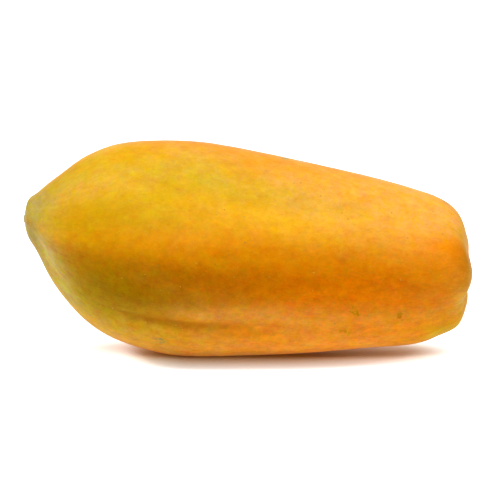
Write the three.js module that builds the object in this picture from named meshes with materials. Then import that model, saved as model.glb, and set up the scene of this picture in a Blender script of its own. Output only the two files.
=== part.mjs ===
// A whole ripe papaya lying on its side, in millimetres, +Z up.
//
// The fruit is one closed body. Its long axis runs along X, with the pointed blossom end at -X and the blunt
// stem end at +X, and the origin lies on the resting plane under the middle of the fruit. The body is a tube
// of rings round a profile curve; shallow grooves and ridges along the fruit, five swellings at each end and a
// few slow waves are added along the profile's normal, and the lowest skin is pressed to a small flat spot.
import * as THREE from "three";
import { ParametricGeometry } from "three/addons/geometries/ParametricGeometry.js";

// Driving dimensions.
const LENGTH = 260; // from the blossom tip to the stem shoulders
const WIDTH_TO_HEIGHT = 1.02; // a ring is a little wider than it is high
const FOOT_PRESS = 1.1; // how deep the lowest skin is pressed flat
const END_SLANT = 0.11; // the stem end leans away from the front by this much per millimetre of width
const SLANT_START = 187; // the slant grows from here to the stem end
const SIDE_SWAY = 2.2; // how far the long axis strays to the side

// The profile: distance from the blossom tip, ring radius, and height of the ring's centre.
const BLOSSOM_TIP = [
  [0, 0, 80],
  [0.5, 5, 80],
  [3, 11.7, 80.2],
  [8.7, 18.1, 78],
];
const BELLY = [
  [20.4, 33.1, 72.4],
  [37.9, 49.6, 68.7],
  [60, 59.5, 66.4],
  [95, 63.2, 62.7],
  [137, 58.6, 59.4],
  [190, 51, 56.6],
  [225, 45.8, 53.2],
  [241, 40.5, 53],
];
const STEM_SHOULDERS = [
  [250.5, 34.2, 51.5],
  [255.3, 24, 50.3],
  [257.2, 16.8, 50.2],
];
const STEM_DEPRESSION = [
  [254.8, 12.4, 50],
  [252.4, 9.2, 50],
  [253, 7.8, 50],
  [253.7, 6.4, 50],
  [252.9, 0, 50],
];
const STATIONS = [...BLOSSOM_TIP, ...BELLY, ...STEM_SHOULDERS, ...STEM_DEPRESSION];

// Folds of the skin along the fruit: the grooves between the carpels, below zero, and two ridges on the front
// flank, above it. The angle goes round the long axis from +Y (the back) over the top, so the front is 180; a
// fold runs from start to end along the fruit and fades out over the fade length at both ends.
const FOLD_FADE = 32;
const FOLDS = [
  { angle: 220.5, height: -1.2, width: 2.8, start: 78, end: 108 },
  { angle: 220, height: -0.8, width: 3.2, start: 64, end: 150 },
  { angle: 203, height: 1, width: 5, start: 66, end: 150 },
  { angle: 178, height: 1.1, width: 6.5, start: 50, end: 106 },
  { angle: 214, height: -1.3, width: 7, start: 240, end: 262 },
  { angle: 143, height: -0.8, width: 8, start: 30, end: 232 },
  { angle: 74, height: -0.9, width: 7, start: 25, end: 240 },
  { angle: 2, height: -1.3, width: 6.5, start: 25, end: 230 },
  { angle: 290, height: -1, width: 6.5, start: 25, end: 235 },
];

// The carpels swell a little between the grooves, most where the fruit closes at its two ends.
const CARPELS = 5;
const CARPEL_PHASE = 2;
const SWELL = { belly: 0.6, blossom: 1.3, stem: 0.9 };
const SWELL_REACH = { blossom: [18, 75], stem: [205, 250] };

// Slow waves that keep the skin from being a true surface of revolution: height, turns round the fruit,
// wavelength along it and phase.
const WAVES = [
  { height: 0.75, turns: 2, length: 236, phase: 0.6 },
  { height: 0.45, turns: 3, length: -168, phase: 2.1 },
  { height: 0.3, turns: 1, length: 92, phase: 4 },
];
const WAVE_FADE = 30; // the waves die out over this length at both ends

// The relief grows from nothing at both poles to its full height at this ring radius, so that the surface
// closes there without a star.
const RELIEF_RADIUS = 30;

// The mesh: facets round the fruit and rings along it, drawn together towards both ends.
const FACETS_ROUND = 108;
const RINGS_ALONG = 54;
const END_CROWDING = 0.72;
const PROFILE_DIVISIONS = 1200;
const PROFILE_TENSION = 0.5;

const { cos, exp, max, sin, PI } = Math;
const { degToRad, smoothstep } = THREE.MathUtils;
const TURN = 2 * PI;

const profile = new THREE.CatmullRomCurve3(
  STATIONS.map(([along, radius, middle]) => new THREE.Vector3(along, radius, middle)),
  false,
  "catmullrom",
  PROFILE_TENSION,
);
profile.arcLengthDivisions = PROFILE_DIVISIONS;

/** 1 between start and end, falling smoothly to 0 over the fade length outside them. */
function stretch(along, start, end, fade) {
  return smoothstep(along, start - fade, start) * (1 - smoothstep(along, end, end + fade));
}

function foldHeight(angle, along) {
  return FOLDS.reduce((sum, fold) => {
    const width = degToRad(fold.width);
    const across = exp((cos(angle - degToRad(fold.angle)) - 1) / (width * width));
    return sum + fold.height * across * stretch(along, fold.start, fold.end, FOLD_FADE);
  }, 0);
}

function carpelSwell(angle, along) {
  const nearBlossom = 1 - smoothstep(along, ...SWELL_REACH.blossom);
  const nearStem = smoothstep(along, ...SWELL_REACH.stem);
  const height =
    SWELL.belly + (SWELL.blossom - SWELL.belly) * nearBlossom + (SWELL.stem - SWELL.belly) * nearStem;
  return -height * cos(CARPELS * (angle - degToRad(CARPEL_PHASE)));
}

function slowWaves(angle, along) {
  const fade = stretch(along, WAVE_FADE, LENGTH - WAVE_FADE, WAVE_FADE);
  return WAVES.reduce((sum, wave) => {
    const phase = wave.turns * angle + (TURN * along) / wave.length + wave.phase;
    return sum + wave.height * fade * sin(phase);
  }, 0);
}

/** The point of the skin at a share of the turn (u) and a share of the profile's length (v), both 0 to 1. */
function skinPoint(u, v, target) {
  const angle = TURN * u;
  const share = v - (END_CROWDING * sin(TURN * v)) / TURN;
  const { x: along, y: radius, z: middle } = profile.getPointAt(share);
  const tangent = profile.getTangentAt(share);
  const slope = new THREE.Vector2(tangent.x, tangent.y).normalize();

  const relief =
    smoothstep(radius, 0, RELIEF_RADIUS) *
    (carpelSwell(angle, along) + slowWaves(angle, along) + foldHeight(angle, along));
  const ring = radius + relief * slope.x;
  const across = ring * cos(angle) * WIDTH_TO_HEIGHT;
  const slant = END_SLANT * smoothstep(along, SLANT_START, LENGTH);

  target.set(
    along - relief * slope.y - across * slant,
    across + SIDE_SWAY * sin((TURN * along) / LENGTH),
    max(0, middle - FOOT_PRESS + ring * sin(angle)),
  );
}

function papayaGeometry() {
  const geometry = new ParametricGeometry(skinPoint, FACETS_ROUND, RINGS_ALONG);
  geometry.computeBoundingBox();
  const middle = geometry.boundingBox.getCenter(new THREE.Vector3());
  return geometry.translate(-middle.x, -middle.y, 0);
}

const skin = new THREE.MeshStandardMaterial({ color: 0xe8a02c, roughness: 0.36, metalness: 0 });
const papaya = new THREE.Mesh(papayaGeometry(), skin);
papaya.name = "papaya";

const fruit = new THREE.Group();
fruit.add(papaya);

export default fruit;
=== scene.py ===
import math

import bpy
from mathutils import Matrix, Vector


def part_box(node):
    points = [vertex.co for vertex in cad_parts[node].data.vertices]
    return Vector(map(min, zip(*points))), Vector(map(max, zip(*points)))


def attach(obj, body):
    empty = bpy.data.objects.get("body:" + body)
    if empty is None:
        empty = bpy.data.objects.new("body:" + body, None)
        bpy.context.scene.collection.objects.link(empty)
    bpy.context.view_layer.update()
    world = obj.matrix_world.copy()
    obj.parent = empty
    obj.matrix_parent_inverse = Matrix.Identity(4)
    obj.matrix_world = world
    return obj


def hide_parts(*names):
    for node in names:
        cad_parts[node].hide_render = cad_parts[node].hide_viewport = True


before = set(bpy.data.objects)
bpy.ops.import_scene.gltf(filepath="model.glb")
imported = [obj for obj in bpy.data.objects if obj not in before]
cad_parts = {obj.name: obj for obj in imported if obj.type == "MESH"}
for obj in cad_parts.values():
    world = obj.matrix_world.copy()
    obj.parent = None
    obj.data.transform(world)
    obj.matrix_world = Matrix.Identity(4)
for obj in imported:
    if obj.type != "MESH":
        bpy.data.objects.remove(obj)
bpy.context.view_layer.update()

bl_info = {
    "name": "Papaya",
    "version": (1, 0, 0),
    "blender": (4, 5, 0),
    "location": "3D View > Sidebar > Papaya",
    "description": "Grows a whole ripe papaya with its scars and skin marks, and sets a plain stage under it",
    "category": "Add Mesh",
}

NODE = "papaya"
FRUIT = "papaya_skin"
BODY = "root"

MM = 0.001
TURN = 2 * math.pi

# The profile in millimetres: distance from the blossom tip, ring radius, and height of the ring's centre. The
# radii and heights from the third station to the twelfth follow the results of a fitting program.
BLOSSOM_TIP = [
    (0, 0, 80),
    (0.5, 5, 80),
    (3, 11.7, 80.2),
    (8.7, 18.1, 78),
]
BELLY = [
    (20.4, 33.1, 72.4),
    (37.9, 49.6, 68.7),
    (60, 59.5, 66.4),
    (95, 63.2, 62.7),
    (137, 58.6, 59.4),
    (190, 51, 56.6),
    (225, 45.8, 53.2),
    (241, 40.5, 53),
]
STEM_SHOULDERS = [
    (250.5, 34.2, 51.5),
    (255.3, 24, 50.3),
    (257.2, 16.8, 50.2),
]
STEM_DEPRESSION = [
    (254.8, 12.4, 50),
    (252.4, 9.2, 50),
    (253, 7.8, 50),
    (253.7, 6.4, 50),
    (252.9, 0, 50),
]
STATIONS = BLOSSOM_TIP + BELLY + STEM_SHOULDERS + STEM_DEPRESSION
PROFILE_STEPS = 48  # curve points between two stations
LENGTH = 260
SLANT_START = 187  # from here to the stem end the slant grows

# Folds of the skin along the fruit, grooves below zero and ridges above: angle round the fruit from +Y (the
# back) over the top, so that the front is 180, then height, width in degrees, start and end along the fruit.
FOLD_FADE = 32
FOLDS = [
    (220.5, -1.2, 2.8, 78, 108),
    (220, -0.8, 3.2, 64, 150),
    (203, 1.0, 5, 66, 150),
    (178, 1.1, 6.5, 50, 106),
    (214, -1.3, 7, 240, 262),
    (143, -0.8, 8, 30, 232),
    (74, -0.9, 7, 25, 240),
    (2, -1.3, 6.5, 25, 230),
    (290, -1, 6.5, 25, 235),
]

# The carpels swell between the five grooves: by how much, and where that changes along the fruit.
CARPELS = 5
CARPEL_PHASE = 2
SWELL_BELLY, SWELL_BLOSSOM, SWELL_STEM = 0.6, 1.3, 0.9
BLOSSOM_REACH = (18, 75)
STEM_REACH = (205, 250)

# Slow waves of the skin: height, turns round the fruit, wavelength along it, phase.
WAVES = [
    (0.75, 2, 236, 0.6),
    (0.45, 3, -168, 2.1),
    (0.3, 1, 92, 4),
]
WAVE_FADE = 30

# The relief grows from nothing at both poles to its full height at this ring radius.
RELIEF_RADIUS = 30
# Within this ring radius a lift loses its sideways part, so that the ring at a pole closes to one point.
POLE_RADIUS = 0.4

# The skin's mesh: rings are drawn together towards both ends, and points nearer than the weld are merged.
END_CROWDING = 0.5
WELD = 0.01 * MM

# Fine folds round both scars: folds round the fruit, where they start, are highest and have faded along it,
# height and seed. Noise of this drift round and along the fruit bends them by this much.
PUCKERS = [
    (10, 0.3, 2.0, 14.0, 0.22, 70.0),
    (11, 236.0, 254.0, 258.0, 0.3, 71.0),
]
PUCKER_DRIFT_ROUND = 1.5
PUCKER_DRIFT_ALONG = 20
PUCKER_BEND = 14

# Noise of the dents and pores, which die out over this height above the ground.
DENT_NOISE = {"scale": 95, "seed": 3.0}
PORE_NOISE = {"scale": 420, "seed": 8.0}
FOOT_CALM = 6

# The scars, from 0 in their middle to 1 at their edge: the cracks' number, bend, sharpness and reach, the
# rim's two slopes, the hollow's slope, the edge, the level part as a share of the rim and the lumps as one of
# the cracks. A scar lies this deep in the skin and is at least this thick.
SCAR_RAYS = 9
SCAR_BEND = 16
SCAR_BEND_DRIFT_ROUND = 2
SCAR_BEND_DRIFT_OUT = 1.5
SCAR_BEND_SEED = 50.0
CRACK_PART = (0.55, 1.0)
CRACK_START = (0.1, 0.4)
CRACK_END = (0.75, 0.98)
RIM_INSIDE = (0.45, 0.74)
RIM_OUTSIDE = (0.74, 1.0)
HOLLOW_SLOPE = (0.0, 0.5)
SCAR_EDGE = (0.86, 1.0)
LEVEL_SHARE = 0.5
LUMP_SHARE = 1.2
LUMP_NOISE = {"scale": 7, "detail": 4.0, "roughness": 0.65, "seed": 51.0}
SCAR_BED = 0.06 * MM
SCAR_SKIN = 0.14 * MM
SCAR_FACETS = 144
SCAR_RINGS = 64

# The flecks: their mesh, their narrowest width as a share of their length, and their seeds.
FLECK_SEGMENTS = 8
FLECK_RINGS = 4
FLECK_NARROWEST = 0.5
FLECK_SIZE_SEED, FLECK_WIDTH_SEED, FLECK_TONE_SEED = 61, 62, 63

# Inputs that the skin and both scars share.
FRUIT_SOCKETS = {
    "Width To Height": "Float",
    "Foot Press": "Float",
    "End Slant": "Float",
    "Side Sway": "Float",
    "Facets": "Int",
    "Rings": "Int",
    "Material": "Material",
}


# ---------------------------------------------------------------- node trees


def feed(tree, socket, value):
    """Links a field to a socket, or sets the socket's own value."""
    if isinstance(value, Field):
        tree.links.new(value.socket, socket)
    else:
        socket.default_value = value


class Field:
    """An output socket that takes part in arithmetic; each step adds one node to its tree."""

    def __init__(self, tree, socket):
        self.tree = tree
        self.socket = socket

    def maths(self, operation, *others, first=None):
        node = self.tree.nodes.new("ShaderNodeMath")
        node.operation = operation
        values = (self, *others) if first is None else (first, self)
        for socket, value in zip(node.inputs, values):
            feed(self.tree, socket, value)
        return Field(self.tree, node.outputs[0])

    def __add__(self, other):
        return self.maths("ADD", other)

    def __sub__(self, other):
        return self.maths("SUBTRACT", other)

    def __rsub__(self, other):
        return self.maths("SUBTRACT", first=other)

    def __mul__(self, other):
        return self.maths("MULTIPLY", other)

    def __truediv__(self, other):
        return self.maths("DIVIDE", other)

    def sine(self):
        return self.maths("SINE")

    def cosine(self):
        return self.maths("COSINE")

    def exponent(self):
        return self.maths("EXPONENT")

    def power(self, other):
        return self.maths("POWER", other)

    def absolute(self):
        return self.maths("ABSOLUTE")

    def at_least(self, other):
        return self.maths("MAXIMUM", other)

    def rise(self, start, end, low=0.0, high=1.0):
        """Runs smoothly from low to high while this value goes from start to end."""
        node = self.tree.nodes.new("ShaderNodeMapRange")
        node.interpolation_type = "SMOOTHSTEP"
        for socket, value in zip(node.inputs, (self, start, end, low, high)):
            feed(self.tree, socket, value)
        return Field(self.tree, node.outputs[0])

    def fall(self, start, end, high=1.0):
        """Runs smoothly from high to 0 while this value goes from start to end."""
        return self.rise(start, end, high, 0.0)


def add(tree, kind, inputs=None, **settings):
    """Adds a node with its settings, feeds its inputs by name or number, and returns it."""
    node = tree.nodes.new(kind)
    for name, value in settings.items():
        setattr(node, name, value)
    for name, value in (inputs or {}).items():
        feed(tree, node.inputs[name], value)
    return node


def out(node, name=0):
    """The node's output of this name or number."""
    return Field(node.id_data, node.outputs[name])


def combine(tree, x, y, z):
    return out(add(tree, "ShaderNodeCombineXYZ", {"X": x, "Y": y, "Z": z}))


def separate(vector):
    node = add(vector.tree, "ShaderNodeSeparateXYZ", {"Vector": vector})
    return out(node, "X"), out(node, "Y"), out(node, "Z")


def noise(tree, vector, scale, detail=2.0, roughness=0.5, seed=0.0, name="Fac"):
    """Seeded noise; its value runs from 0 to 1 with a mean of a half."""
    node = add(
        tree,
        "ShaderNodeTexNoise",
        {"Vector": vector, "W": seed, "Scale": scale, "Detail": detail, "Roughness": roughness},
        noise_dimensions="4D",
    )
    return out(node, name)


def new_geometry_tree(name, sockets):
    """A Geometry Nodes tree with a geometry in, a geometry out and these named inputs."""
    tree = bpy.data.node_groups.new(name, "GeometryNodeTree")
    tree.is_modifier = True
    tree.interface.new_socket("Geometry", in_out="INPUT", socket_type="NodeSocketGeometry")
    tree.interface.new_socket("Geometry", in_out="OUTPUT", socket_type="NodeSocketGeometry")
    for socket_name, kind in sockets.items():
        tree.interface.new_socket(socket_name, in_out="INPUT", socket_type="NodeSocket" + kind)
    return tree, tree.nodes.new("NodeGroupInput")


def close_geometry_tree(tree, geometry, material):
    """Ends a tree: real geometry only, smooth, with its material."""
    smooth = add(tree, "GeometryNodeSetShadeSmooth", {"Geometry": geometry})
    real = add(tree, "GeometryNodeRealizeInstances", {"Geometry": out(smooth)})
    coated = add(tree, "GeometryNodeSetMaterial", {"Geometry": out(real), "Material": material})
    result = add(tree, "NodeGroupOutput")
    tree.links.new(coated.outputs[0], result.inputs[0])


def grow(name, host_mesh, tree, values):
    """Evaluates the tree on a host mesh and returns the result as a plain mesh object at the origin."""
    host = bpy.data.objects.new(name + "_host", host_mesh)
    bpy.context.collection.objects.link(host)
    modifier = host.modifiers.new("Grow", "NODES")
    modifier.node_group = tree
    for item in tree.interface.items_tree:
        if item.item_type == "SOCKET" and item.in_out == "INPUT" and item.name in values:
            modifier[item.identifier] = values[item.name]
    depsgraph = bpy.context.evaluated_depsgraph_get()
    mesh = bpy.data.meshes.new_from_object(
        host.evaluated_get(depsgraph), preserve_all_data_layers=True, depsgraph=depsgraph
    )
    host.modifiers.remove(modifier)
    bpy.data.objects.remove(host)
    mesh.name = name
    piece = bpy.data.objects.new(name, mesh)
    bpy.context.collection.objects.link(piece)
    return piece


# ---------------------------------------------------------------- the fruit's surface


def profile_mesh():
    """The profile as a line of vertices: distance along, radius and centre height, in metres."""
    points = [Vector(station) * MM for station in STATIONS]
    edges = [(index, index + 1) for index in range(len(points) - 1)]
    mesh = bpy.data.meshes.new("papaya_profile")
    mesh.from_pydata(points, edges, [])
    return mesh


def profile_curve(tree, geometry):
    """A smooth curve through the profile's vertices."""
    curve = add(tree, "GeometryNodeMeshToCurve", {"Mesh": geometry})
    smooth = add(tree, "GeometryNodeCurveSplineType", {"Curve": out(curve)}, spline_type="CATMULL_ROM")
    steps = {"Geometry": out(smooth), "Resolution": PROFILE_STEPS}
    return out(add(tree, "GeometryNodeSetSplineResolution", steps))


def fold_height(angle, along):
    """The sum of the ridges and grooves, in metres."""
    total = 0.0
    for turn, height, width, start, end in FOLDS:
        spread = math.radians(width) ** 2
        across = (((angle - math.radians(turn)).cosine() - 1) / spread).exponent()
        before = along.rise((start - FOLD_FADE) * MM, start * MM)
        after = along.fall(end * MM, (end + FOLD_FADE) * MM)
        total = across * before * after * (height * MM) + total
    return total


def carpel_swell(angle, along):
    """The five carpels swell between the grooves, most towards both ends."""
    near_blossom = along.fall(*(reach * MM for reach in BLOSSOM_REACH))
    near_stem = along.rise(*(reach * MM for reach in STEM_REACH))
    height = (
        near_blossom * ((SWELL_BLOSSOM - SWELL_BELLY) * MM)
        + near_stem * ((SWELL_STEM - SWELL_BELLY) * MM)
        + SWELL_BELLY * MM
    )
    return height * (angle * CARPELS - math.radians(CARPELS * CARPEL_PHASE)).cosine() * -1


def slow_waves(angle, along):
    fade = along.rise(0, WAVE_FADE * MM) * along.fall((LENGTH - WAVE_FADE) * MM, LENGTH * MM)
    total = 0.0
    for height, turns, wavelength, phase in WAVES:
        wave = (angle * turns + along * (TURN / (wavelength * MM)) + phase).sine()
        total = wave * fade * (height * MM) + total
    return total


def skin_point(tree, group, curve, angle, share, lift=0.0):
    """The point of the skin at an angle and a share of the profile, raised by a lift.

    Returns the point, its distance along the fruit, the folds' height there and the share of the relief.
    """
    sample = add(
        tree,
        "GeometryNodeSampleCurve",
        {"Curves": curve, "Factor": share},
        mode="FACTOR",
        use_all_curves=True,
    )
    along, radius, middle = separate(out(sample, "Position"))
    step_along, step_radius, _ = separate(out(sample, "Tangent"))
    step = (step_along * step_along + step_radius * step_radius).power(0.5)
    slope_along, slope_radius = step_along / step, step_radius / step

    folds = fold_height(angle, along)
    full = radius.rise(0, RELIEF_RADIUS * MM)
    relief = full * (carpel_swell(angle, along) + slow_waves(angle, along) + folds)
    sideways = relief + radius.rise(0, POLE_RADIUS * MM) * lift
    relief = relief + lift
    ring = radius + sideways * slope_along
    across = ring * angle.cosine() * out(group, "Width To Height")
    slant = along.rise(SLANT_START * MM, LENGTH * MM) * out(group, "End Slant")
    sway = (along * (TURN / (LENGTH * MM))).sine() * out(group, "Side Sway")
    height = (middle - out(group, "Foot Press") + ring * angle.sine()).at_least(0)
    point = combine(tree, along - relief * slope_radius - across * slant, across + sway, height)
    return point, along, folds * full, full


def pucker_height(angle, along):
    """Fine folds that run out from both scars and soon fade, in metres."""
    tree = angle.tree
    total = 0.0
    for folds, start, full, fade, height, seed in PUCKERS:
        turned = combine(
            tree,
            angle.cosine() * PUCKER_DRIFT_ROUND,
            angle.sine() * PUCKER_DRIFT_ROUND,
            along * PUCKER_DRIFT_ALONG,
        )
        bend = noise(tree, turned, 1.0, seed=seed) - 0.5
        wave = (angle * folds + bend * PUCKER_BEND).sine()
        near = along.rise(start * MM, full * MM) * along.fall(full * MM, fade * MM)
        total = wave * near * (height * MM) + total
    return total


def store(tree, geometry, name, value, kind="FLOAT", domain="POINT"):
    """The geometry with a value kept under a name, for its material."""
    node = add(
        tree,
        "GeometryNodeStoreNamedAttribute",
        {"Geometry": geometry, "Name": name, "Value": value},
        data_type=kind,
        domain=domain,
    )
    return out(node)


def sheet_grid(tree, facets, rings):
    """A flat grid to be rolled round the fruit, with its share round it and along it, 0 to 1."""
    grid = add(
        tree,
        "GeometryNodeMeshGrid",
        {"Size X": 1.0, "Size Y": 1.0, "Vertices X": facets, "Vertices Y": rings},
    )
    x, y, _ = separate(out(add(tree, "GeometryNodeInputPosition")))
    return out(grid, "Mesh"), x + 0.5, y + 0.5


def fruit_values(settings, facets, rings, material):
    """Values for the inputs that the skin and both scars share."""
    return {
        "Width To Height": settings.width_to_height,
        "Foot Press": settings.foot_press,
        "End Slant": settings.end_slant,
        "Side Sway": settings.side_sway,
        "Facets": facets,
        "Rings": rings,
        "Material": material,
    }


def skin_tree():
    """The whole skin: a grid rolled round the profile, welded shut, with faint dents, pores and puckers."""
    tree, group = new_geometry_tree("Papaya skin", {**FRUIT_SOCKETS, "Dents": "Float", "Pores": "Float"})
    curve = profile_curve(tree, out(group, "Geometry"))
    grid, round_share, long_share = sheet_grid(tree, out(group, "Facets"), out(group, "Rings"))
    angle = round_share * TURN
    share = long_share - (long_share * TURN).sine() * (END_CROWDING / TURN)
    point, along, folds, full = skin_point(tree, group, curve, angle, share)

    # Along runs from 0 to 1 over the fruit's length. Ring holds the direction round the fruit and the share
    # of the relief, which is 0 at both poles. Fold is in millimetres.
    stored = store(tree, grid, "along", along / (LENGTH * MM))
    stored = store(tree, stored, "ring", combine(tree, angle.cosine(), angle.sine(), full), "FLOAT_VECTOR")
    stored = store(tree, stored, "fold", folds / MM)
    rolled = add(tree, "GeometryNodeSetPosition", {"Geometry": stored, "Position": point})
    welded = add(tree, "GeometryNodeMergeByDistance", {"Geometry": out(rolled), "Distance": WELD})

    position = out(add(tree, "GeometryNodeInputPosition"))
    height = separate(position)[2]
    dents = (noise(tree, position, **DENT_NOISE) - 0.5) * out(group, "Dents")
    pores = (noise(tree, position, **PORE_NOISE) - 0.5) * out(group, "Pores")
    puckers = pucker_height(angle, along)
    bump = (dents + pores) * height.rise(0, FOOT_CALM * MM) + puckers
    normal = out(add(tree, "GeometryNodeInputNormal"))
    offset = out(add(tree, "ShaderNodeVectorMath", {0: normal, "Scale": bump}, operation="SCALE"))
    rough = add(tree, "GeometryNodeSetPosition", {"Geometry": out(welded), "Offset": offset})
    close_geometry_tree(tree, out(rough), out(group, "Material"))
    return tree


def scar_tree(name, at_stem):
    """A closed corky button on one pole: its front lies on the skin, and its back returns below."""
    sockets = {"Span": "Float", "Rim": "Float", "Hollow": "Float", "Root": "Float", "Cracks": "Float"}
    tree, group = new_geometry_tree(name, {**FRUIT_SOCKETS, **sockets})
    curve = profile_curve(tree, out(group, "Geometry"))
    grid, round_share, loop = sheet_grid(tree, out(group, "Facets"), out(group, "Rings"))
    angle = round_share * TURN
    outward = 1 - (loop * 2 - 1).absolute()
    span = outward * out(group, "Span")
    front = loop.maths("GREATER_THAN", 0.5) if at_stem else loop.maths("LESS_THAN", 0.5)
    share = 1 - span if at_stem else span

    # Cracks run outwards from the middle, bent by noise; the rim is a rounded, lumpy ring.
    drift = combine(
        tree,
        angle.cosine() * SCAR_BEND_DRIFT_ROUND,
        angle.sine() * SCAR_BEND_DRIFT_ROUND,
        outward * SCAR_BEND_DRIFT_OUT,
    )
    bend = noise(tree, drift, 1.0, seed=SCAR_BEND_SEED) - 0.5
    crack = (angle * SCAR_RAYS + bend * SCAR_BEND).sine().rise(*CRACK_PART)
    crack = crack * outward.rise(*CRACK_START) * outward.fall(*CRACK_END)
    spread = combine(tree, angle.cosine() * outward, angle.sine() * outward, 0.0)
    lumps = noise(tree, spread, **LUMP_NOISE) - 0.5
    rim = outward.rise(*RIM_INSIDE) * outward.fall(*RIM_OUTSIDE)
    raised = rim * out(group, "Rim") - outward.fall(*HOLLOW_SLOPE) * out(group, "Hollow")
    raised = raised + (lumps * LUMP_SHARE - crack) * out(group, "Cracks") + out(group, "Rim") * LEVEL_SHARE
    raised = raised.at_least(SCAR_SKIN)
    sunk = outward.fall(0.0, 1.0) * out(group, "Root") * -1
    edge = outward.fall(*SCAR_EDGE)
    lift = (raised * front + sunk * (1 - front)) * edge - SCAR_BED
    point, _, _, _ = skin_point(tree, group, curve, angle, share, lift)

    stored = store(tree, grid, "outward", outward)
    stored = store(tree, stored, "crack", crack)
    rolled = add(tree, "GeometryNodeSetPosition", {"Geometry": stored, "Position": point})
    welded = add(tree, "GeometryNodeMergeByDistance", {"Geometry": out(rolled), "Distance": WELD})
    close_geometry_tree(tree, out(welded), out(group, "Material"))
    return tree


def fleck_tree():
    """Small flat corky dots strewn over the skin, each sunk half into it."""
    sockets = {"Density": "Float", "Smallest": "Float", "Largest": "Float", "Flatness": "Float"}
    tree, group = new_geometry_tree("Skin flecks", {**sockets, "Seed": "Int", "Material": "Material"})
    strewn = add(
        tree,
        "GeometryNodeDistributePointsOnFaces",
        {"Mesh": out(group, "Geometry"), "Density": out(group, "Density"), "Seed": out(group, "Seed")},
    )
    dot = add(
        tree,
        "GeometryNodeMeshUVSphere",
        {"Segments": FLECK_SEGMENTS, "Rings": FLECK_RINGS, "Radius": 1.0},
    )
    # Most dots are small: the share of the size range is squared.
    share = random_value(tree, FLECK_SIZE_SEED)
    smallest = out(group, "Smallest")
    size = (out(group, "Largest") - smallest) * share * share + smallest
    narrow = random_value(tree, FLECK_WIDTH_SEED) * (1 - FLECK_NARROWEST) + FLECK_NARROWEST
    scale = combine(tree, size, size * narrow, size * out(group, "Flatness"))
    placed = add(
        tree,
        "GeometryNodeInstanceOnPoints",
        {
            "Points": out(strewn, "Points"),
            "Instance": out(dot, "Mesh"),
            "Rotation": out(strewn, "Rotation"),
            "Scale": scale,
        },
    )
    tone = random_value(tree, FLECK_TONE_SEED)
    toned = store(tree, out(placed), "tone", tone, domain="INSTANCE")
    close_geometry_tree(tree, toned, out(group, "Material"))
    return tree


def random_value(tree, seed):
    """A seeded random number between 0 and 1 for each point or instance."""
    node = add(tree, "FunctionNodeRandomValue", {"Seed": seed}, data_type="FLOAT")
    return out(node, 1)


# ---------------------------------------------------------------- skin colours


def mix(tree, base, other, amount):
    """The base colour with this share, 0 to 1, of the other one laid over it."""
    node = add(tree, "ShaderNodeMix", data_type="RGBA", clamp_factor=True)
    feed(tree, node.inputs[0], amount)
    feed(tree, node.inputs[6], base)
    feed(tree, node.inputs[7], other)
    return Field(tree, node.outputs[2])


def new_material(name):
    """A material with one shader: returns the material, its tree and the shader."""
    material = bpy.data.materials.new(name)
    material.use_nodes = True
    tree = material.node_tree
    tree.nodes.clear()
    shader = tree.nodes.new("ShaderNodeBsdfPrincipled")
    output = tree.nodes.new("ShaderNodeOutputMaterial")
    tree.links.new(shader.outputs[0], output.inputs[0])
    return material, tree, shader


# Soft patches of skin, by the name of their colour: middle along the fruit in millimetres, angle round it in
# degrees, reach along in millimetres, spread round in degrees, strength. A later patch lies over the earlier
# ones. The first seven lie on the back and were set one by one. The others lie on the front and round the
# blossom end, and they hold the results of a fitting program, as the colours from gold to rose do.
# Patches of peach, rose, umber, flame, olive, pale and tip are in part painted light and shade, as told at
# their colours.
PATCHES = [
    ("lemon", 90, 40, 60, 22, 0.6),
    ("flame", 180, 14, 66, 26, 0.7),
    ("peach_and_highlight", 205, 60, 50, 20, 0.6),
    ("olive_and_shade", 62, -32, 30, 15, 0.6),
    ("amber", 125, -24, 60, 20, 0.7),
    ("moss", 240, -40, 18, 30, 0.6),
    ("straw", 40, 20, 30, 40, 0.35),
    ("straw", 29, 159, 65, 27, 1),
    ("lemon", 156, 164, 80, 16, 0.97),
    ("peach_and_highlight", 253, 133, 102, 27, 0.89),
    ("peach_and_highlight", 35, 139, 41, 8.4, 0.62),
    ("flame", 118, 182, 140, 10.7, 1),
    ("flame", 256, 163, 34, 10.7, 0.88),
    ("amber", 35, 158, 43, 11.2, 0.61),
    ("olive_and_shade", 69, 204, 33, 9.7, 1),
    ("umber_shade", 161, 196, 70, 15, 1),
    ("umber_shade", 80, 219, 31, 2.4, 0.8),
    ("moss", 28, 228, 65, 15, 0.8),
    ("moss", 241, 245, 15, 13, 0.76),
    ("tip", 2, 180, 13, 400, 0.81),
    ("pale", 17, 208, 9, 17, 1),
    ("rose_bounce_light", 147, 208, 41, 3.7, 1),
    ("straw", 137, 140, 48, 6.5, 0.18),
    ("olive_and_shade", 78, 188, 23, 2.5, 0.59),
    ("lemon", 105, 179, 91, 4.8, 0.34),
    ("flame", 183, 200, 67, 18, 0.87),
    ("umber_shade", 252, 169, 8, 15, 0.63),
    ("moss", 47, 200, 12, 10.8, 0.22),
    ("moss", 39, 117, 6, 1.9, 0.51),
    ("rose_bounce_light", 195, 218, 79, 7.7, 0.24),
    ("rose_bounce_light", 162, 245, 70, 10.2, 0.43),
    ("pale", 44, 243, 42, 11.7, 0.34),
    ("pale", 250, 206, 6, 12, 0.4),
    ("rose_bounce_light", 100, 211, 14, 2.8, 0.48),
    ("rose_bounce_light", 143, 214, 44, 3.8, 0.36),
    ("amber", 195, 209, 56, 2.4, 0.31),
    ("pale", 25, 233, 12, 9.2, 0.34),
    ("pale", 261, 215, 6, 12.3, 0.3),
    ("straw", 102, 129, 43, 9.5, 0.21),
]

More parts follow.
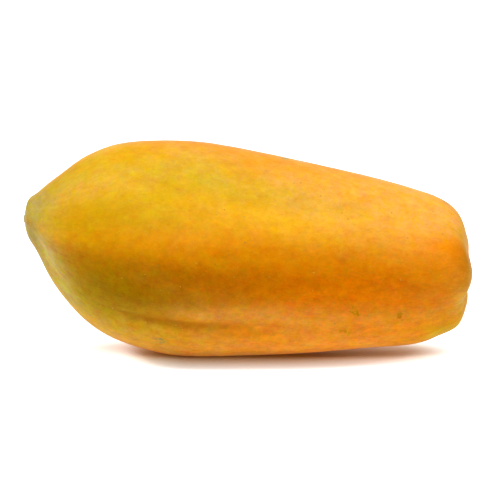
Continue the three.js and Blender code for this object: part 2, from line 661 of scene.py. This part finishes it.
# Small marks on the skin, given in the same way: grey-green streaks, scabs and olive spots.
MARKS = [
    ("bruise", 152, 99, 3.0, 3.0, 0.5),
    ("bruise", 161, 98, 2.5, 2.5, 0.4),
    ("scab", 243.5, 104, 2.0, 4.0, 0.5),
    ("olive_and_shade", 216, 214, 2.2, 3.0, 0.4),
    ("olive_and_shade", 191, 211, 1.6, 2.0, 0.3),
    ("olive_and_shade", 186, 228, 4.0, 3.0, 0.2),
    ("bruise", 79, 238, 4.0, 3.0, 0.35),
    ("scab", 101, 63, 2.2, 1.6, 0.7),
    ("bruise", 128, 22, 9.0, 1.8, 0.4),
    ("bruise", 74, -14, 3.0, 3.0, 0.35),
]


# Noise that breaks the skin's colours up: how far red, green and blue go up and down together, and each
# alone. Red and green do so less on the upper side: from here to there in the ring's height, from this share
# to that.
MOTTLE_NOISE = {"scale": 150, "detail": 4.0, "roughness": 0.9}
MOTTLE_SHARED_SEED, MOTTLE_ALONE_SEED = 11.0, 12.0
MOTTLE_SHARED = (0.6, 0.9, 0.6)
MOTTLE_ALONE = (0.5, 0.85, 4.8)
MOTTLE_FLANKS = (-0.35, 0.35, 1.35, 0.86)
DUST = 0.024  # bluish light of the palest specks

# Coordinates for noise that is drawn out along the fruit.
DRAWN_LENGTH = 0.6 * LENGTH * MM
DRAWN_RADIUS = 55 * MM

# Clouds in the patches and in the skin between them, and the fine shift of the marks along and round it.
CLOUD_NOISE = {"scale": 45, "detail": 5.0, "roughness": 0.65}
CLOUD_SEEDS = (1.0, 2.0)
CLOUDINESS = 1.5
JITTER_NOISE = {"scale": 300, "detail": 3.0, "roughness": 0.6, "seed": 3.0}
JITTER_ALONG = 0.012
JITTER_ROUND = 0.06
RIPE_NOISE = {"scale": 40, "detail": 4.0, "roughness": 0.6, "seed": 5.0}
RIPE_PART = (0.35, 0.65)

# The painted shade in the grooves, by their depth in millimetres, and the tint of the collar round the stem
# scar.
GROOVE_DEPTHS = (0.5, 2.0)
GROOVE_SHADE = 0.35
COLLAR = 14
COLLAR_TINT = 0.3

# The waxy surface: roughness by noise, gloss, and fine relief in the shading.
WAX_NOISE = {"scale": 60, "detail": 3.0, "roughness": 0.6, "seed": 20.0}
WAX_ROUGHNESS = (0.2, 0.8, 0.3, 0.42)
WAX_GLOSS = 0.01
SKIN_GRAIN = {"scale": 900, "detail": 3.0, "roughness": 0.6, "seed": 30.0}
SKIN_GRAIN_STRENGTH = 0.12
SKIN_GRAIN_DEPTH = 0.4 * MM

# Cork: light on its lumps, dark in the cracks and the middle, greenish at the edge.
CORK_NOISE = {"scale": 900, "detail": 4.0, "roughness": 0.7, "seed": 52.0}
CORK_LIGHT_PART = (0.35, 0.62)
CORK_CRACK_TINT = 0.8
CORK_MIDDLE = (0.0, 0.35, 0.6)
CORK_EDGE = (0.8, 1.0)
CORK_EDGE_TINT = 0.6
CORK_ROUGHNESS = (0.2, 0.8, 0.95, 0.75)
CORK_GLOSS = 0.2
CORK_GRAIN = {"scale": 2600, "detail": 3.0, "roughness": 0.6, "seed": 53.0}
CORK_GRAIN_STRENGTH = 0.5
CORK_GRAIN_DEPTH = 0.2 * MM

# Flecks: blotches shift each one's tone.
BLOTCH_NOISE = {"scale": 1500, "detail": 2.0, "roughness": 0.6, "seed": 64.0}
FLECK_TONES = (0.1, 0.9)
FLECK_ROUGHNESS = (-0.3, 0.3, 0.45, 0.6)
FLECK_GLOSS = 0.15


def patch(along, ring, middle, angle, reach, spread):
    """The power of e that a patch weighs: 0 in its middle, and less the farther along and round the fruit."""
    ring_x, ring_y, _ = ring
    lengthwise = (along * (LENGTH / reach) - middle / reach).power(2)
    facing = ring_x * math.cos(math.radians(angle)) + ring_y * math.sin(math.radians(angle))
    return (facing - 1) * (1 / math.radians(spread) ** 2) - lengthwise


def mottled(tree, place, drawn, ring, colour):
    """Breaks a colour up with fine specks: all channels go up and down together, and each a little alone."""
    shared = noise(tree, drawn, **MOTTLE_NOISE, seed=MOTTLE_SHARED_SEED) - 0.5
    alone = separate(noise(tree, place, **MOTTLE_NOISE, seed=MOTTLE_ALONE_SEED, name="Color"))
    flank = ring[1].rise(*MOTTLE_FLANKS)
    strengths = (flank, flank, 1)
    channels = [
        channel * ((shared * together + (own - 0.5) * apart) * strength + 1)
        for channel, own, together, apart, strength in zip(
            separate(colour), alone, MOTTLE_SHARED, MOTTLE_ALONE, strengths
        )
    ]
    dust = (alone[2] - 0.5).at_least(0) * DUST
    return combine(tree, channels[0], channels[1], channels[2] + dust)


def roughen(tree, shader, place, grain, strength, depth):
    """Fine relief in the shading alone, from noise."""
    height = noise(tree, place, **grain)
    bump = add(tree, "ShaderNodeBump", {"Strength": strength, "Distance": depth, "Height": height})
    feed(tree, shader.inputs["Normal"], out(bump))


def skin_material(settings):
    """Ripe skin: soft patches, some of them painted highlight, painted light and painted shade, small marks
    and grooves darkened with painted shade, all clouded and mottled, under thin wax.
    """
    material, tree, shader = new_material("Papaya skin")
    place = out(add(tree, "ShaderNodeTexCoord"), "Object")
    along = out(add(tree, "ShaderNodeAttribute", attribute_name="along"), "Fac")
    ring = separate(out(add(tree, "ShaderNodeAttribute", attribute_name="ring"), "Vector"))
    fold = out(add(tree, "ShaderNodeAttribute", attribute_name="fold"), "Fac")

    # Noise read at these coordinates is drawn out along the fruit, but not round its poles.
    radius = ring[2] * DRAWN_RADIUS
    drawn = combine(tree, along * DRAWN_LENGTH, ring[0] * radius, ring[1] * radius)

    # Noise makes the patches cloudy, one of two kinds by turns, and shifts the marks a little.
    cloudy = [(noise(tree, drawn, **CLOUD_NOISE, seed=seed) - 0.5) * CLOUDINESS for seed in CLOUD_SEEDS]
    jitter = noise(tree, place, **JITTER_NOISE) - 0.5
    close = (along + jitter * JITTER_ALONG, (ring[0] + jitter * JITTER_ROUND, ring[1], ring[2]))

    clouds = noise(tree, drawn, **RIPE_NOISE).rise(*RIPE_PART)
    colour = mix(tree, tuple(settings.amber), tuple(settings.gold), clouds)
    for number, (name, middle, angle, reach, spread, strength) in enumerate(PATCHES):
        weight = patch(along, ring, middle, angle, reach, spread) + cloudy[number % len(cloudy)]
        amount = weight.exponent() * strength
        colour = mix(tree, colour, tuple(getattr(settings, name)), amount)
    # Painted shade: the grooves are darkened towards umber the deeper they are.
    groove = (fold * -1).rise(*GROOVE_DEPTHS, 0.0, GROOVE_SHADE)
    colour = mix(tree, colour, tuple(settings.umber_shade), groove)
    for name, middle, angle, reach, spread, strength in MARKS:
        amount = patch(*close, middle, angle, reach, spread).exponent() * strength
        colour = mix(tree, colour, tuple(getattr(settings, name)), amount)
    # A dry, greenish collar round the stem scar.
    collar = along.rise((LENGTH - COLLAR) / LENGTH, (LENGTH - COLLAR / 2) / LENGTH)
    colour = mix(tree, colour, tuple(settings.moss), collar * COLLAR_TINT)
    feed(tree, shader.inputs["Base Color"], mottled(tree, place, drawn, ring, colour))

    feed(tree, shader.inputs["Roughness"], noise(tree, place, **WAX_NOISE).rise(*WAX_ROUGHNESS))
    shader.inputs["Specular IOR Level"].default_value = WAX_GLOSS
    roughen(tree, shader, place, SKIN_GRAIN, SKIN_GRAIN_STRENGTH, SKIN_GRAIN_DEPTH)
    return material


def cork_material(settings):
    """Dry, cracked cork: light on its lumps, dark in its cracks and in its hollow middle."""
    material, tree, shader = new_material("Scar cork")
    place = out(add(tree, "ShaderNodeTexCoord"), "Object")
    outward = out(add(tree, "ShaderNodeAttribute", attribute_name="outward"), "Fac")
    crack = out(add(tree, "ShaderNodeAttribute", attribute_name="crack"), "Fac")
    lumps = noise(tree, place, **CORK_NOISE)
    colour = mix(tree, tuple(settings.cork_dark), tuple(settings.cork_light), lumps.rise(*CORK_LIGHT_PART))
    colour = mix(tree, colour, tuple(settings.cork_dark), crack * CORK_CRACK_TINT)
    colour = mix(tree, colour, tuple(settings.cork_dark), outward.fall(*CORK_MIDDLE))
    colour = mix(tree, colour, tuple(settings.moss), outward.rise(*CORK_EDGE) * CORK_EDGE_TINT)
    feed(tree, shader.inputs["Base Color"], colour)
    feed(tree, shader.inputs["Roughness"], lumps.rise(*CORK_ROUGHNESS))
    shader.inputs["Specular IOR Level"].default_value = CORK_GLOSS
    roughen(tree, shader, place, CORK_GRAIN, CORK_GRAIN_STRENGTH, CORK_GRAIN_DEPTH)
    return material


def fleck_material(settings):
    """Flecks between a pale and a dull tone, each a little uneven."""
    material, tree, shader = new_material("Fleck cork")
    place = out(add(tree, "ShaderNodeTexCoord"), "Object")
    tone = out(add(tree, "ShaderNodeAttribute", attribute_name="tone"), "Fac")
    blotch = noise(tree, place, **BLOTCH_NOISE) - 0.5
    dull = (tone + blotch).rise(*FLECK_TONES)
    colour = mix(tree, tuple(settings.fleck_pale), tuple(settings.fleck_dull), dull)
    feed(tree, shader.inputs["Base Color"], colour)
    feed(tree, shader.inputs["Roughness"], blotch.rise(*FLECK_ROUGHNESS))
    shader.inputs["Specular IOR Level"].default_value = FLECK_GLOSS
    return material


# ---------------------------------------------------------------- settings


def length_setting(name, description, millimetres):
    return bpy.props.FloatProperty(
        name=name, description=description, default=millimetres * MM, subtype="DISTANCE", unit="LENGTH"
    )


def share_setting(name, description, share):
    return bpy.props.FloatProperty(name=name, description=description, default=share)


def skin_colour(name, description, red, green, blue):
    """A colour setting, given as the share of red, green and blue light that the skin throws back."""
    return bpy.props.FloatVectorProperty(
        name=name,
        description=description,
        default=(red, green, blue, 1),
        size=4,
        subtype="COLOR",
        min=0,
        max=1,
    )


class PapayaShape(bpy.types.PropertyGroup):
    """Sizes of the fruit's body."""

    width_to_height: share_setting(
        "Width to Height", "Width of a ring of the fruit as a share of its height", 1.02
    )
    foot_press: length_setting("Foot Press", "How deep the lowest skin is pressed flat", 1.1)
    end_slant: share_setting("End Slant", "How far the stem end leans back per unit of width", 0.11)
    side_sway: length_setting("Side Sway", "How far the long axis strays to the side", 2.2)
    dents: length_setting("Dents", "Height of the shallow dents in the skin", 0.35)
    pores: length_setting("Pores", "Height of the finest relief of the skin", 0.07)
    facets: bpy.props.IntProperty(name="Facets", description="Mesh facets round the fruit", default=320)
    rings: bpy.props.IntProperty(name="Rings", description="Mesh rings along the fruit", default=290)


class PapayaSkin(bpy.types.PropertyGroup):
    """Colours of the skin, some of them painted light and shade."""

    gold: skin_colour("Gold", "Ripe skin between the patches, lighter", 0.749, 0.318, 0.035)
    amber: skin_colour("Amber", "Ripe skin between the patches, deeper", 0.775, 0.264, 0.003)
    straw: skin_colour("Straw", "Yellow cheeks that still hold a trace of green", 0.488, 0.524, 0)
    # Peach is partly painted highlight: it makes the upper side paler and pinker where the light from above
    # falls and is reflected.
    peach_and_highlight: skin_colour("Peach", "Paler, pinker skin on the upper side", 1, 0.459, 0.068)
    # Flame is partly painted shade: besides ripe skin, it gives the shaded lower flank of the front its
    # deeper, redder orange.
    flame: skin_colour("Flame", "The ripest, deep orange skin of the flanks", 1, 0.256, 0)
    # Olive is partly painted shade: besides unripe green skin, it darkens the shaded lower flank of the front.
    olive_and_shade: skin_colour("Olive", "Unripe skin above the front groove and low on the back", 0.556, 0.245, 0)
    # Umber is painted shade: it darkens the shaded flank of the front, the front groove, the grooves by their
    # depth and the front of the stem end.
    umber_shade: skin_colour("Umber", "Brownish skin above and in the grooves", 0.466, 0.146, 0)
    moss: skin_colour("Moss", "Greenish skin, mostly low on both ends", 0.543, 0.368, 0)
    # Tip is partly painted sheen: its bluish, greyish tone also stands in for the dull reflection on the
    # blossom end.
    tip: skin_colour("Tip", "Skin of the blossom end", 0.504, 0.371, 0.104)
    # Pale is partly painted sheen: it makes the low rims towards both ends paler and bluer, standing in for
    # light reflected at a grazing angle.
    pale: skin_colour("Pale", "Pale, dull skin towards both ends", 0.81, 0.605, 0.123)
    lemon: skin_colour("Lemon", "Bright bands along the flanks", 1, 0.519, 0.005)
    # Rose is painted light: the light bands low on the front stand in for light thrown up from the ground.
    rose_bounce_light: skin_colour("Rose", "Light, dull bands low on the front", 0.985, 0.494, 0.064)
    bruise: skin_colour("Bruise", "Grey-green streaks and flecks", 0.34, 0.3, 0.08)
    scab: skin_colour("Scab", "Small dark scabs", 0.2, 0.14, 0.07)
    fleck_pale: skin_colour("Pale Fleck", "The lightest of the raised flecks", 0.9, 0.45, 0.03)
    fleck_dull: skin_colour("Dull Fleck", "The greenest of the raised flecks", 0.55, 0.3, 0.02)
    cork_light: skin_colour("Light Cork", "Lumps of the scars", 0.44, 0.28, 0.13)
    cork_dark: skin_colour("Dark Cork", "Cracks and hollows of the scars", 0.12, 0.065, 0.025)


class PapayaScars(bpy.types.PropertyGroup):
    """Sizes of the stem scar, the blossom scar and the flecks."""

    stem_span: share_setting("Stem Scar Reach", "Share of the profile under the stem scar", 0.0262)
    stem_rim: length_setting("Stem Scar Rim", "Height of the stem scar's rim", 0.9)
    stem_hollow: length_setting("Stem Scar Hollow", "Depth of the stem scar's middle", 0.35)
    stem_cracks: length_setting("Stem Scar Cracks", "Depth of the stem scar's cracks", 0.5)
    blossom_span: share_setting("Blossom Scar Reach", "Share of the profile under the blossom scar", 0.0085)
    blossom_rim: length_setting("Blossom Scar Rim", "Height of the blossom scar's rim", 0.35)
    blossom_hollow: length_setting("Blossom Scar Hollow", "Depth of the blossom scar's middle", 0.1)
    blossom_cracks: length_setting("Blossom Scar Cracks", "Depth of the blossom scar's cracks", 0.2)
    root: length_setting("Scar Root", "How deep the back of a scar is sunk in the flesh", 1.5)
    flecks: bpy.props.FloatProperty(
        name="Flecks", description="Raised flecks for each square metre of skin", default=16000
    )
    smallest_fleck: length_setting("Smallest Fleck", "Radius of the smallest flecks", 0.16)
    largest_fleck: length_setting("Largest Fleck", "Radius of the largest flecks", 0.55)
    fleck_flatness: share_setting("Fleck Flatness", "Height of a fleck as a share of its radius", 0.2)
    fleck_seed: bpy.props.IntProperty(name="Fleck Seed", description="Picks where the flecks lie", default=7)


class PapayaStage(bpy.types.PropertyGroup):
    """The ground, the light and the camera."""

    elevation: bpy.props.FloatProperty(
        name="Camera Elevation",
        description="How far above the horizon the camera stands",
        default=math.radians(5.5),
        subtype="ANGLE",
        unit="ROTATION",
    )
    distance: bpy.props.FloatProperty(
        name="Camera Distance",
        description="From the camera to the point it looks at",
        default=1.2,
        subtype="DISTANCE",
        unit="LENGTH",
    )
    lens: bpy.props.FloatProperty(
        name="Lens", description="Focal length on a 36 mm sensor", default=147.7, unit="CAMERA"
    )


# ---------------------------------------------------------------- operators


class GrowFruit(bpy.types.Operator):
    """Grow the papaya's body and skin in place of its plain solid"""

    bl_idname = "papaya.grow_fruit"
    bl_label = "Grow Fruit"

    def execute(self, context):
        shape = context.scene.papaya_shape
        material = skin_material(context.scene.papaya_skin)
        values = fruit_values(shape, shape.facets + 1, shape.rings + 1, material)
        values.update({"Dents": shape.dents, "Pores": shape.pores})
        fruit = grow(FRUIT, profile_mesh(), skin_tree(), values)
        settle(fruit)
        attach(fruit, BODY)
        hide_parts(NODE)
        return {"FINISHED"}


def settle(fruit):
    """Moves the grown skin so that its box is centred on the CAD node's box and stands on its floor."""
    low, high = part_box(NODE)
    corners = [Vector(corner) for corner in fruit.bound_box]
    sides = [[corner[axis] for corner in corners] for axis in range(2)]
    middle = [(min(side) + max(side)) / 2 for side in sides]
    shift = Vector(((low.x + high.x) / 2 - middle[0], (low.y + high.y) / 2 - middle[1], low.z))
    fruit.data.transform(Matrix.Translation(shift))
    fruit["shift"] = shift


class GrowScars(bpy.types.Operator):
    """Grow the corky scars where the stem and the flower were"""

    bl_idname = "papaya.grow_scars"
    bl_label = "Grow Scars"

    def execute(self, context):
        shape = context.scene.papaya_shape
        scars = context.scene.papaya_scars
        material = cork_material(context.scene.papaya_skin)
        shift = Vector(bpy.data.objects[FRUIT]["shift"])
        for end in ("stem", "blossom"):
            name = end + "_scar"
            values = fruit_values(shape, SCAR_FACETS + 1, SCAR_RINGS + 1, material)
            for part in ("span", "rim", "hollow", "cracks"):
                values[part.title()] = getattr(scars, end + "_" + part)
            values["Root"] = scars.root
            scar = grow(name, profile_mesh(), scar_tree(name.replace("_", " "), end == "stem"), values)
            scar.data.transform(Matrix.Translation(shift))
            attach(scar, BODY)
        return {"FINISHED"}


class StrewFlecks(bpy.types.Operator):
    """Strew small raised flecks over the skin"""

    bl_idname = "papaya.strew_flecks"
    bl_label = "Strew Flecks"

    def execute(self, context):
        scars = context.scene.papaya_scars
        values = {
            "Density": scars.flecks,
            "Smallest": scars.smallest_fleck,
            "Largest": scars.largest_fleck,
            "Flatness": scars.fleck_flatness,
            "Seed": scars.fleck_seed,
            "Material": fleck_material(context.scene.papaya_skin),
        }
        flecks = grow("skin_flecks", bpy.data.objects[FRUIT].data.copy(), fleck_tree(), values)
        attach(flecks, BODY)
        return {"FINISHED"}


class SetStage(bpy.types.Operator):
    """Lay the pale ground, light it softly and place the camera"""

    bl_idname = "papaya.set_stage"
    bl_label = "Set Stage"

    def execute(self, context):
        stage = context.scene.papaya_stage
        lay_ground()
        light_world(context.scene)
        hang_softbox()
        place_camera(context.scene, stage)
        context.scene.view_settings.view_transform = "Standard"
        return {"FINISHED"}


# ---------------------------------------------------------------- the stage


# The pale ground: its tone by noise, its gloss, and its own glow where nothing shades it.
GROUND_NOISE = {"scale": 12, "seed": 40.0}
GROUND_TONES = (0.3, 0.7, 0.94, 0.97)
GROUND_ROUGHNESS = 0.9
GROUND_GLOSS = 0.1
GROUND_GLOW = 0.8
GLOW_PART = (0.55, 0.95)

# The shade under the fruit: how far it reaches, how open the sky is at its brightest, and its colour.
SHADE_REACH = 0.045
SHADE_SAMPLES = 16
SHADE_PART = 0.9
SHADE_TINT = (0.34, 0.265, 0.18, 1)
# The shade thins out towards both ends of the fruit, each time from here to there and by this share; in
# front of the fruit a little more than that, behind it less.
SHADE_BLOSSOM_END = (-0.078, -0.03, 0.68)
SHADE_STEM_END = (0.02, 0.12, 0.0, 0.55)
SHADE_BACKWARD = (-0.02, 0.04, 1.15, 0.75)

# The sheet that throws light back at the fruit leaves out the ground in front of it.
REACH = 8.0
FLOOR_OUTLINE = [(-REACH, -REACH), (REACH, -REACH), (REACH, REACH), (-REACH, REACH)]
BOUNCE_OUTLINE = [
    (-REACH, 0.05),
    (-0.14, -0.045),
    (-0.05, -0.085),
    (REACH, -0.085),
    (REACH, REACH),
    (-REACH, REACH),
]
BOUNCE_DROP = 0.0005
BOUNCE_COLOUR = (0.94, 0.94, 0.94, 1)
BOUNCE_GLOW = 0.21

# The dome: bright overhead and behind, dimmer to the right, dim in front, and white where the camera sees it.
SKY = 1.2
FRONT_GLOOM = 0.12
OVERHEAD = (0.1, 0.5)
BEHIND = (-0.1, 0.2)
RIGHT_SIDE = (0.2, 0.95, 1.0, 0.42)
SEEN_SKY = 1.2
WHITE = (1, 1, 1, 1)

# The softbox: width, depth, watts, place and tilt towards the fruit.
SOFTBOX_SIZE = (1.4, 0.7)
SOFTBOX_POWER = 8
SOFTBOX_PLACE = (0.0, -0.9, 1.0)
SOFTBOX_TILT = 42

CAMERA_TARGET = Vector((1.7 * MM, 0, 60.6 * MM))
CAMERA_NEAREST = 0.01
SENSOR_WIDTH = 36


def ground_material():
    """Pale ground that glows where nothing shades it, tinted warm where the fruit does."""
    material, tree, shader = new_material("Pale ground")
    place = out(add(tree, "ShaderNodeTexCoord"), "Object")
    tone = noise(tree, place, **GROUND_NOISE).rise(*GROUND_TONES)
    around = add(tree, "ShaderNodeAmbientOcclusion", {"Distance": SHADE_REACH}, samples=SHADE_SAMPLES)
    open_sky = out(around, "AO")
    lengthwise, backward, _ = separate(place)
    thinning = lengthwise.fall(*SHADE_BLOSSOM_END) + lengthwise.rise(*SHADE_STEM_END)
    thinning = thinning * backward.rise(*SHADE_BACKWARD)
    open_sky = (open_sky - 1) * (1 - thinning) + 1
    shaded = open_sky.fall(0.0, SHADE_PART)
    colour = mix(tree, combine(tree, tone, tone, tone), SHADE_TINT, shaded)
    feed(tree, shader.inputs["Base Color"], colour)
    shader.inputs["Emission Color"].default_value = WHITE
    feed(tree, shader.inputs["Emission Strength"], open_sky.rise(*GLOW_PART, 0.0, GROUND_GLOW))
    shader.inputs["Roughness"].default_value = GROUND_ROUGHNESS
    shader.inputs["Specular IOR Level"].default_value = GROUND_GLOSS
    return material


def flat_sheet(name, outline, height, material):
    """A level sheet of the stage with this outline."""
    mesh = bpy.data.meshes.new(name)
    mesh.from_pydata([(x, y, height) for x, y in outline], [], [range(len(outline))])
    mesh.materials.append(material)
    sheet = bpy.data.objects.new(name, mesh)
    bpy.context.collection.objects.link(sheet)
    return sheet


def lay_ground():
    """The floor that the camera sees, and just below it the sheet that throws light back at the fruit."""
    floor = flat_sheet("floor", FLOOR_OUTLINE, 0.0, ground_material())
    floor.visible_diffuse = False
    floor.visible_glossy = False
    floor.visible_shadow = False
    lit, _, shader = new_material("Lit ground")
    shader.inputs["Base Color"].default_value = BOUNCE_COLOUR
    shader.inputs["Emission Color"].default_value = WHITE
    shader.inputs["Emission Strength"].default_value = BOUNCE_GLOW
    bounce = flat_sheet("floor_bounce", BOUNCE_OUTLINE, -BOUNCE_DROP, lit)
    bounce.visible_camera = False


def light_world(scene):
    """A dome that is bright overhead and behind, and dim in front; the camera sees plain white."""
    world = bpy.data.worlds.new("Soft dome")
    world.use_nodes = True
    tree = world.node_tree
    tree.nodes.clear()
    direction = out(add(tree, "ShaderNodeTexCoord"), "Generated")
    side, away, up = separate(direction)
    bright = up.rise(*OVERHEAD).at_least(away.rise(*BEHIND)) * side.rise(*RIGHT_SIDE)
    level = bright * (SKY - FRONT_GLOOM) + FRONT_GLOOM
    seen = out(add(tree, "ShaderNodeLightPath"), "Is Camera Ray")
    strength = level.at_least(seen * SEEN_SKY)
    background = add(tree, "ShaderNodeBackground", {"Color": WHITE, "Strength": strength})
    output = add(tree, "ShaderNodeOutputWorld")
    tree.links.new(background.outputs[0], output.inputs[0])
    scene.world = world


def hang_softbox():
    """One wide soft light above the front."""
    light = bpy.data.lights.new("softbox", "AREA")
    light.shape = "RECTANGLE"
    light.size, light.size_y = SOFTBOX_SIZE
    light.energy = SOFTBOX_POWER
    lamp = bpy.data.objects.new("softbox", light)
    lamp.location = SOFTBOX_PLACE
    lamp.rotation_euler = (math.radians(SOFTBOX_TILT), 0, 0)
    bpy.context.collection.objects.link(lamp)


def place_camera(scene, stage):
    """A level camera in front of the fruit that looks slightly down at it."""
    data = bpy.data.cameras.new("camera")
    data.lens = stage.lens
    data.sensor_width = SENSOR_WIDTH
    data.clip_start = CAMERA_NEAREST
    camera = bpy.data.objects.new("camera", data)
    back = Vector((0, -math.cos(stage.elevation), math.sin(stage.elevation)))
    camera.location = CAMERA_TARGET + back * stage.distance
    camera.rotation_euler = (math.pi / 2 - stage.elevation, 0, 0)
    bpy.context.collection.objects.link(camera)
    scene.camera = camera


# ---------------------------------------------------------------- the add-on


class PapayaPanel(bpy.types.Panel):
    """Lists the papaya's settings and steps."""

    bl_idname = "VIEW3D_PT_papaya"
    bl_label = "Papaya"
    bl_space_type = "VIEW_3D"
    bl_region_type = "UI"
    bl_category = "Papaya"

    def draw(self, context):
        scene = context.scene
        for settings in (getattr(scene, name) for name in SETTINGS):
            box = self.layout.box()
            for name in settings.bl_rna.properties.keys():
                if name not in ("rna_type", "name"):
                    box.prop(settings, name)
        for step in STEPS:
            self.layout.operator(step.bl_idname)


SETTINGS = {
    "papaya_shape": PapayaShape,
    "papaya_skin": PapayaSkin,
    "papaya_scars": PapayaScars,
    "papaya_stage": PapayaStage,
}
STEPS = (GrowFruit, GrowScars, StrewFlecks, SetStage)
CLASSES = (*SETTINGS.values(), *STEPS, PapayaPanel)


def register():
    for cls in CLASSES:
        bpy.utils.register_class(cls)
    for name, group in SETTINGS.items():
        setattr(bpy.types.Scene, name, bpy.props.PointerProperty(type=group))


def unregister():
    for name in SETTINGS:
        delattr(bpy.types.Scene, name)
    for cls in reversed(CLASSES):
        bpy.utils.unregister_class(cls)


def main():
    register()
    bpy.ops.papaya.grow_fruit()
    bpy.ops.papaya.grow_scars()
    bpy.ops.papaya.strew_flecks()
    bpy.ops.papaya.set_stage()


if __name__ == "__main__":
    main()
